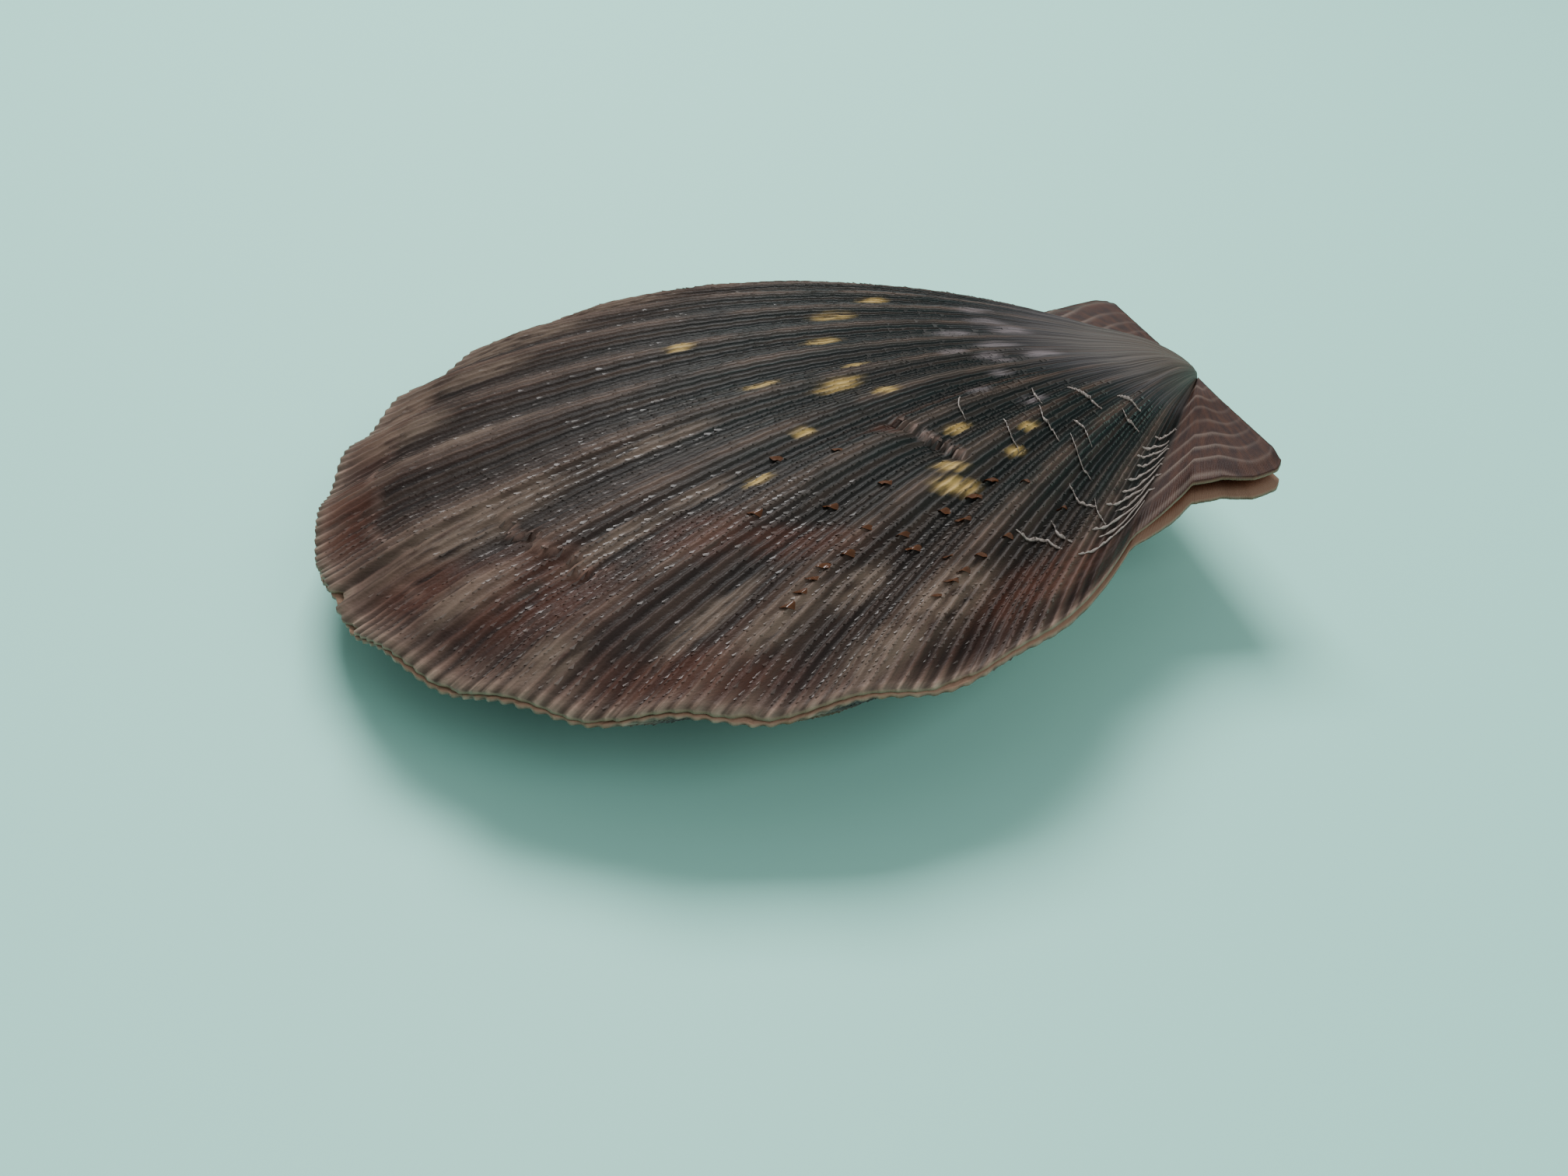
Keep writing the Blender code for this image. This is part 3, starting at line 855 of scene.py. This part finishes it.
def fold_bands(tree, ray, crest_up):
    """How strongly a ray lies on a fold's crest and in its valley, each from 0 to 1."""
    wave = cosine(tree, ray, 1.0)
    if crest_up:
        crest = calc(tree, "POWER", wave, 7.0)
        second = calc(tree, "POWER", cosine(tree, ray, 3.0), 5.0)
        crest = calc(tree, "MAXIMUM", crest, calc(tree, "MULTIPLY", second, 0.4))
        valley = calc(tree, "SUBTRACT", 1.0, calc(tree, "POWER", wave, 1.5))
    else:
        crest = calc(tree, "POWER", calc(tree, "SUBTRACT", 1.0, wave), 5.0)
        valley = calc(tree, "POWER", wave, 1.5)
    return crest, valley


def fold_colour(tree, ray, growth, look, colour):
    """The colour with painted shade in the valleys and between riblets, and lighter broken crests."""
    crest, valley = fold_bands(tree, ray, look["crest_up"])
    # Painted shade in the fold valleys, faded out near the umbo and at the margin.
    valley = calc(tree, "MULTIPLY", valley, grey_ramp(tree, growth, 0.15, 0.35))
    valley = calc(tree, "MULTIPLY", valley, grey_ramp(tree, growth, 0.97, 0.90))
    colour = blend(tree, valley, colour, VALLEY_PAINTED_SHADE, "MULTIPLY")
    broken = noise(tree, ray, growth, 2.0, 11.0, 4.0, look["seed"] + 9.0)
    crest = calc(tree, "MULTIPLY", crest, grey_ramp(tree, broken, 0.25, 0.60))
    crest = calc(tree, "MULTIPLY", crest, grey_ramp(tree, growth, 0.12, 0.3))
    colour = blend(tree, calc(tree, "MULTIPLY", crest, look["crest_share"]), colour, look["crest"])
    # Painted shade in the grooves between the riblets, faded in away from the umbo.
    groove = calc(tree, "SUBTRACT", 1.0, cosine(tree, ray, RIBLETS_PER_FOLD))
    groove = calc(tree, "MULTIPLY", groove, grey_ramp(tree, growth, 0.15, 0.4))
    groove = calc(tree, "MULTIPLY", groove, GROOVE_PAINTED_SHADE_SHARE)
    return blend(tree, groove, colour, GROOVE_PAINTED_SHADE, "MULTIPLY")


def ear_colour(tree, ray, growth, look):
    """Mottled brown ears with pale ridges."""
    mottle = noise(tree, ray, growth, 4.0, 7.0, 4.0, look["seed"] + 17.0)
    colour = blend(tree, grey_ramp(tree, mottle, 0.3, 0.7), look["ear"], look["ear_dark"])
    ridge = calc(tree, "MULTIPLY", read(tree, "ridge"), 0.6)
    return blend(tree, ridge, colour, look["ear_ridge"])


def shell_colour(tree, ray, growth, look):
    """Colour of a valve's outer face: growth zones, folds, riblets, soft spots and ears."""
    colour = zone_colour(tree, ray, growth, look)
    colour = fold_colour(tree, ray, growth, look, colour)
    ragged = noise(tree, ray, growth, 14.0, 22.0, 3.0, look["seed"] + 13.0)
    ragged = grey_ramp(tree, ragged, 0.25, 0.6)
    for name, share, spot_colour in look["paint"]:
        mask = calc(tree, "MULTIPLY", read(tree, name), ragged)
        colour = blend(tree, calc(tree, "MULTIPLY", mask, share), colour, spot_colour)
    on_ear = grey_ramp(tree, calc(tree, "ABSOLUTE", ray), *EAR_BLEND)
    return blend(tree, on_ear, colour, ear_colour(tree, ray, growth, look))


def scaly_normal(tree, ray, growth, fine):
    """Shading of riblet scales that are finer than the mesh."""
    scaly = calc(tree, "MULTIPLY", cosine(tree, ray, RIBLETS_PER_FOLD * 2), 0.5)
    scaly = calc(tree, "ADD", scaly, calc(tree, "MULTIPLY", fine, 0.9))
    scaly = calc(tree, "MULTIPLY", scaly, grey_ramp(tree, growth, 0.12, 0.4))
    bump = tree.nodes.new("ShaderNodeBump")
    bump.inputs["Strength"].default_value = 0.5
    bump.inputs["Distance"].default_value = SCALY_BUMP
    put(tree, bump.inputs["Height"], scaly)
    return bump.outputs["Normal"]


def shell_material(name, look, paler):
    """Finish of a valve, or of its scales, which are a little paler and glossier."""
    material = bpy.data.materials.new(name)
    material.use_nodes = True
    tree = material.node_tree
    shader = tree.nodes["Principled BSDF"]
    ray = read(tree, "ray")
    growth = read(tree, "growth")
    colour = shell_colour(tree, ray, growth, look)
    if paler:
        colour = blend(tree, paler, colour, look["scale"])
        shader.inputs["Roughness"].default_value = SCALE_ROUGHNESS
    else:
        inner = blend(tree, grey_ramp(tree, growth, 0.86, 0.97), look["inside"], look["inside_edge"])
        colour = blend(tree, read(tree, "inside"), colour, inner)
        fine = noise(tree, ray, growth, 60.0, 260.0, 2.0, 1.0)
        least, most_added = SHELL_ROUGHNESS
        rough = calc(tree, "MULTIPLY_ADD", fine, most_added, least)
        put(tree, shader.inputs["Roughness"], rough)
        put(tree, shader.inputs["Normal"], scaly_normal(tree, ray, growth, fine))
    shader.inputs["Specular IOR Level"].default_value = SCALE_GLOSS if paler else SHELL_GLOSS
    put(tree, shader.inputs["Base Color"], colour)
    return material


def plain_material(name, colour, roughness):
    """One colour with fine mottling."""
    material = bpy.data.materials.new(name)
    material.use_nodes = True
    tree = material.node_tree
    shader = tree.nodes["Principled BSDF"]
    shader.inputs["Roughness"].default_value = roughness
    shader.inputs["Specular IOR Level"].default_value = PLAIN_GLOSS
    texture = tree.nodes.new("ShaderNodeTexNoise")
    texture.inputs["Scale"].default_value = MOTTLING
    place = tree.nodes.new("ShaderNodeTexCoord")
    put(tree, texture.inputs["Vector"], place.outputs["Object"])
    darker = rgb(*(part * shade for part, shade in zip(colour, MOTTLE_SHADE)))
    put(tree, shader.inputs["Base Color"], blend(tree, texture.outputs["Fac"], darker, colour))
    return material


def floor_material():
    """The plain pale floor's finish."""
    material = bpy.data.materials.new("floor")
    material.use_nodes = True
    shader = material.node_tree.nodes["Principled BSDF"]
    shader.inputs["Base Color"].default_value = FLOOR_COLOUR
    shader.inputs["Roughness"].default_value = 0.6
    return material


UPPER_LOOK = {
    "seed": 0.0, "zones": UPPER_ZONES, "streak": rgb(0.055, 0.029, 0.021),
    "crest": rgb(0.150, 0.100, 0.076), "crest_share": 0.55, "crest_up": True,
    "paint": (("red", 0.45, rgb(0.085, 0.026, 0.014)), ("tan", 0.55, rgb(0.180, 0.130, 0.098)),
              ("lavender", 0.60, rgb(0.240, 0.205, 0.215)), ("ochre", 0.90, rgb(0.480, 0.330, 0.110)),
              ("edge", 0.50, rgb(0.280, 0.175, 0.140))),
    "ear": rgb(0.050, 0.021, 0.013), "ear_dark": rgb(0.020, 0.009, 0.008),
    "ear_ridge": rgb(0.200, 0.155, 0.130),
    "scale": rgb(0.40, 0.36, 0.34), "inside": rgb(0.16, 0.06, 0.03),
    "inside_edge": rgb(0.26, 0.16, 0.11),
}
LOWER_LOOK = {
    "seed": 31.0, "zones": LOWER_ZONES, "streak": rgb(0.190, 0.095, 0.018),
    "crest": rgb(0.21, 0.14, 0.085), "crest_share": 0.40, "crest_up": False,
    "paint": (("amber", 0.70, rgb(0.230, 0.105, 0.015)), ("dark", 0.80, rgb(0.020, 0.012, 0.008)),
              ("olive", 0.60, rgb(0.175, 0.120, 0.020))),
    "ear": rgb(0.160, 0.125, 0.085), "ear_dark": rgb(0.090, 0.060, 0.040),
    "ear_ridge": rgb(0.440, 0.390, 0.340),
    "scale": rgb(0.55, 0.46, 0.38), "inside": rgb(0.16, 0.06, 0.03),
    "inside_edge": rgb(0.26, 0.16, 0.11),
}
UPPER_VALVE = {
    "node": "left_valve", "front_ear": UPPER_FRONT_EAR, "inflation": UPPER_INFLATION, "up": 1,
    "spots": {"ochre": OCHRE_SPOTS, "lavender": LAVENDER_SPOTS, "tan": TAN_RAYS, "red": RED_ZONES},
    "hoods": HOODS, "blades": BLADES,
}
LOWER_VALVE = {
    "node": "right_valve", "front_ear": LOWER_FRONT_EAR, "inflation": LOWER_INFLATION, "up": -1,
    "spots": {"amber": AMBER_ZONES, "dark": DARK_ZONES, "olive": OLIVE_ZONES},
    "hoods": (), "blades": (),
}


def add_camera():
    """The camera of the photograph."""
    data = bpy.data.cameras.new("camera")
    data.lens = CAMERA_LENS
    data.sensor_width = SENSOR_WIDTH
    data.clip_start = NEAR_CLIP
    camera = bpy.data.objects.new("camera", data)
    turn = (Matrix.Rotation(CAMERA_TURN, 4, "Z")
            @ Matrix.Rotation(math.pi / 2 - CAMERA_DOWN, 4, "X")
            @ Matrix.Rotation(CAMERA_ROLL, 4, "Z"))
    camera.matrix_world = Matrix.Translation(CAMERA_PLACE) @ turn
    bpy.context.scene.collection.objects.link(camera)
    bpy.context.scene.camera = camera


def add_floor():
    """A plain pale floor."""
    half = FLOOR_HALF
    mesh = bpy.data.meshes.new("floor")
    corners = [(-half, -half, 0), (half, -half, 0), (half, half, 0), (-half, half, 0)]
    mesh.from_pydata(corners, [], [(0, 1, 2, 3)])
    floor = bpy.data.objects.new("floor", mesh)
    mesh.materials.append(floor_material())
    bpy.context.scene.collection.objects.link(floor)


def add_light(name, place, size, power):
    """A soft square white light that faces the shell."""
    data = bpy.data.lights.new(name, "AREA")
    data.size = size
    data.energy = power
    data.color = WHITE
    light = bpy.data.objects.new(name, data)
    light.location = place
    light.rotation_euler = (-Vector(place)).to_track_quat("-Z", "Y").to_euler()
    bpy.context.scene.collection.objects.link(light)


def add_world():
    """Soft light from all round."""
    world = bpy.data.worlds.new("studio")
    world.use_nodes = True
    background = world.node_tree.nodes["Background"]
    background.inputs["Color"].default_value = WORLD_COLOUR
    background.inputs["Strength"].default_value = WORLD_STRENGTH
    bpy.context.scene.world = world


def dress_valve(valve, look):
    """One valve's surface, scales, hoods and lamellae, with their finishes."""
    node = valve["node"]
    build_valve(valve).data.materials.append(shell_material(node + "_finish", look, 0.0))
    scale_finish = shell_material(node + "_scale_finish", look, SCALE_PALENESS)
    build_flakes(valve).data.materials.append(scale_finish)
    if valve["hoods"]:
        hood_finish = plain_material("hood_finish", HOOD_COLOUR, HOOD_ROUGHNESS)
        build_hoods(valve, valve["hoods"]).data.materials.append(hood_finish)
    sizes = [(BLADE_HEIGHT, BLADE_THICKNESS)] * len(valve["blades"])
    sizes += [(WRINKLE_HEIGHT, WRINKLE_THICKNESS)] * WRINKLES
    lamellae = build_blades(valve, valve["blades"] + wrinkle_lines(), sizes)
    finish = plain_material(node + "_lamella_finish", LAMELLA_COLOUR, LAMELLA_ROUGHNESS)
    lamellae.data.materials.append(finish)


def dress_ligament():
    """The ligament keeps its solid's own mesh and gets a dried brown finish."""
    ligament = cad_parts["hinge_ligament"]
    finish = plain_material("ligament_finish", LIGAMENT_COLOUR, LIGAMENT_ROUGHNESS)
    ligament.data.materials.clear()
    ligament.data.materials.append(finish)


def main():
    """Dresses the shell and sets the stage."""
    add_camera()
    add_floor()
    add_world()
    add_light("key", *KEY_LIGHT)
    add_light("fill", *FILL_LIGHT)
    dress_valve(UPPER_VALVE, UPPER_LOOK)
    dress_valve(LOWER_VALVE, LOWER_LOOK)
    dress_ligament()


main()
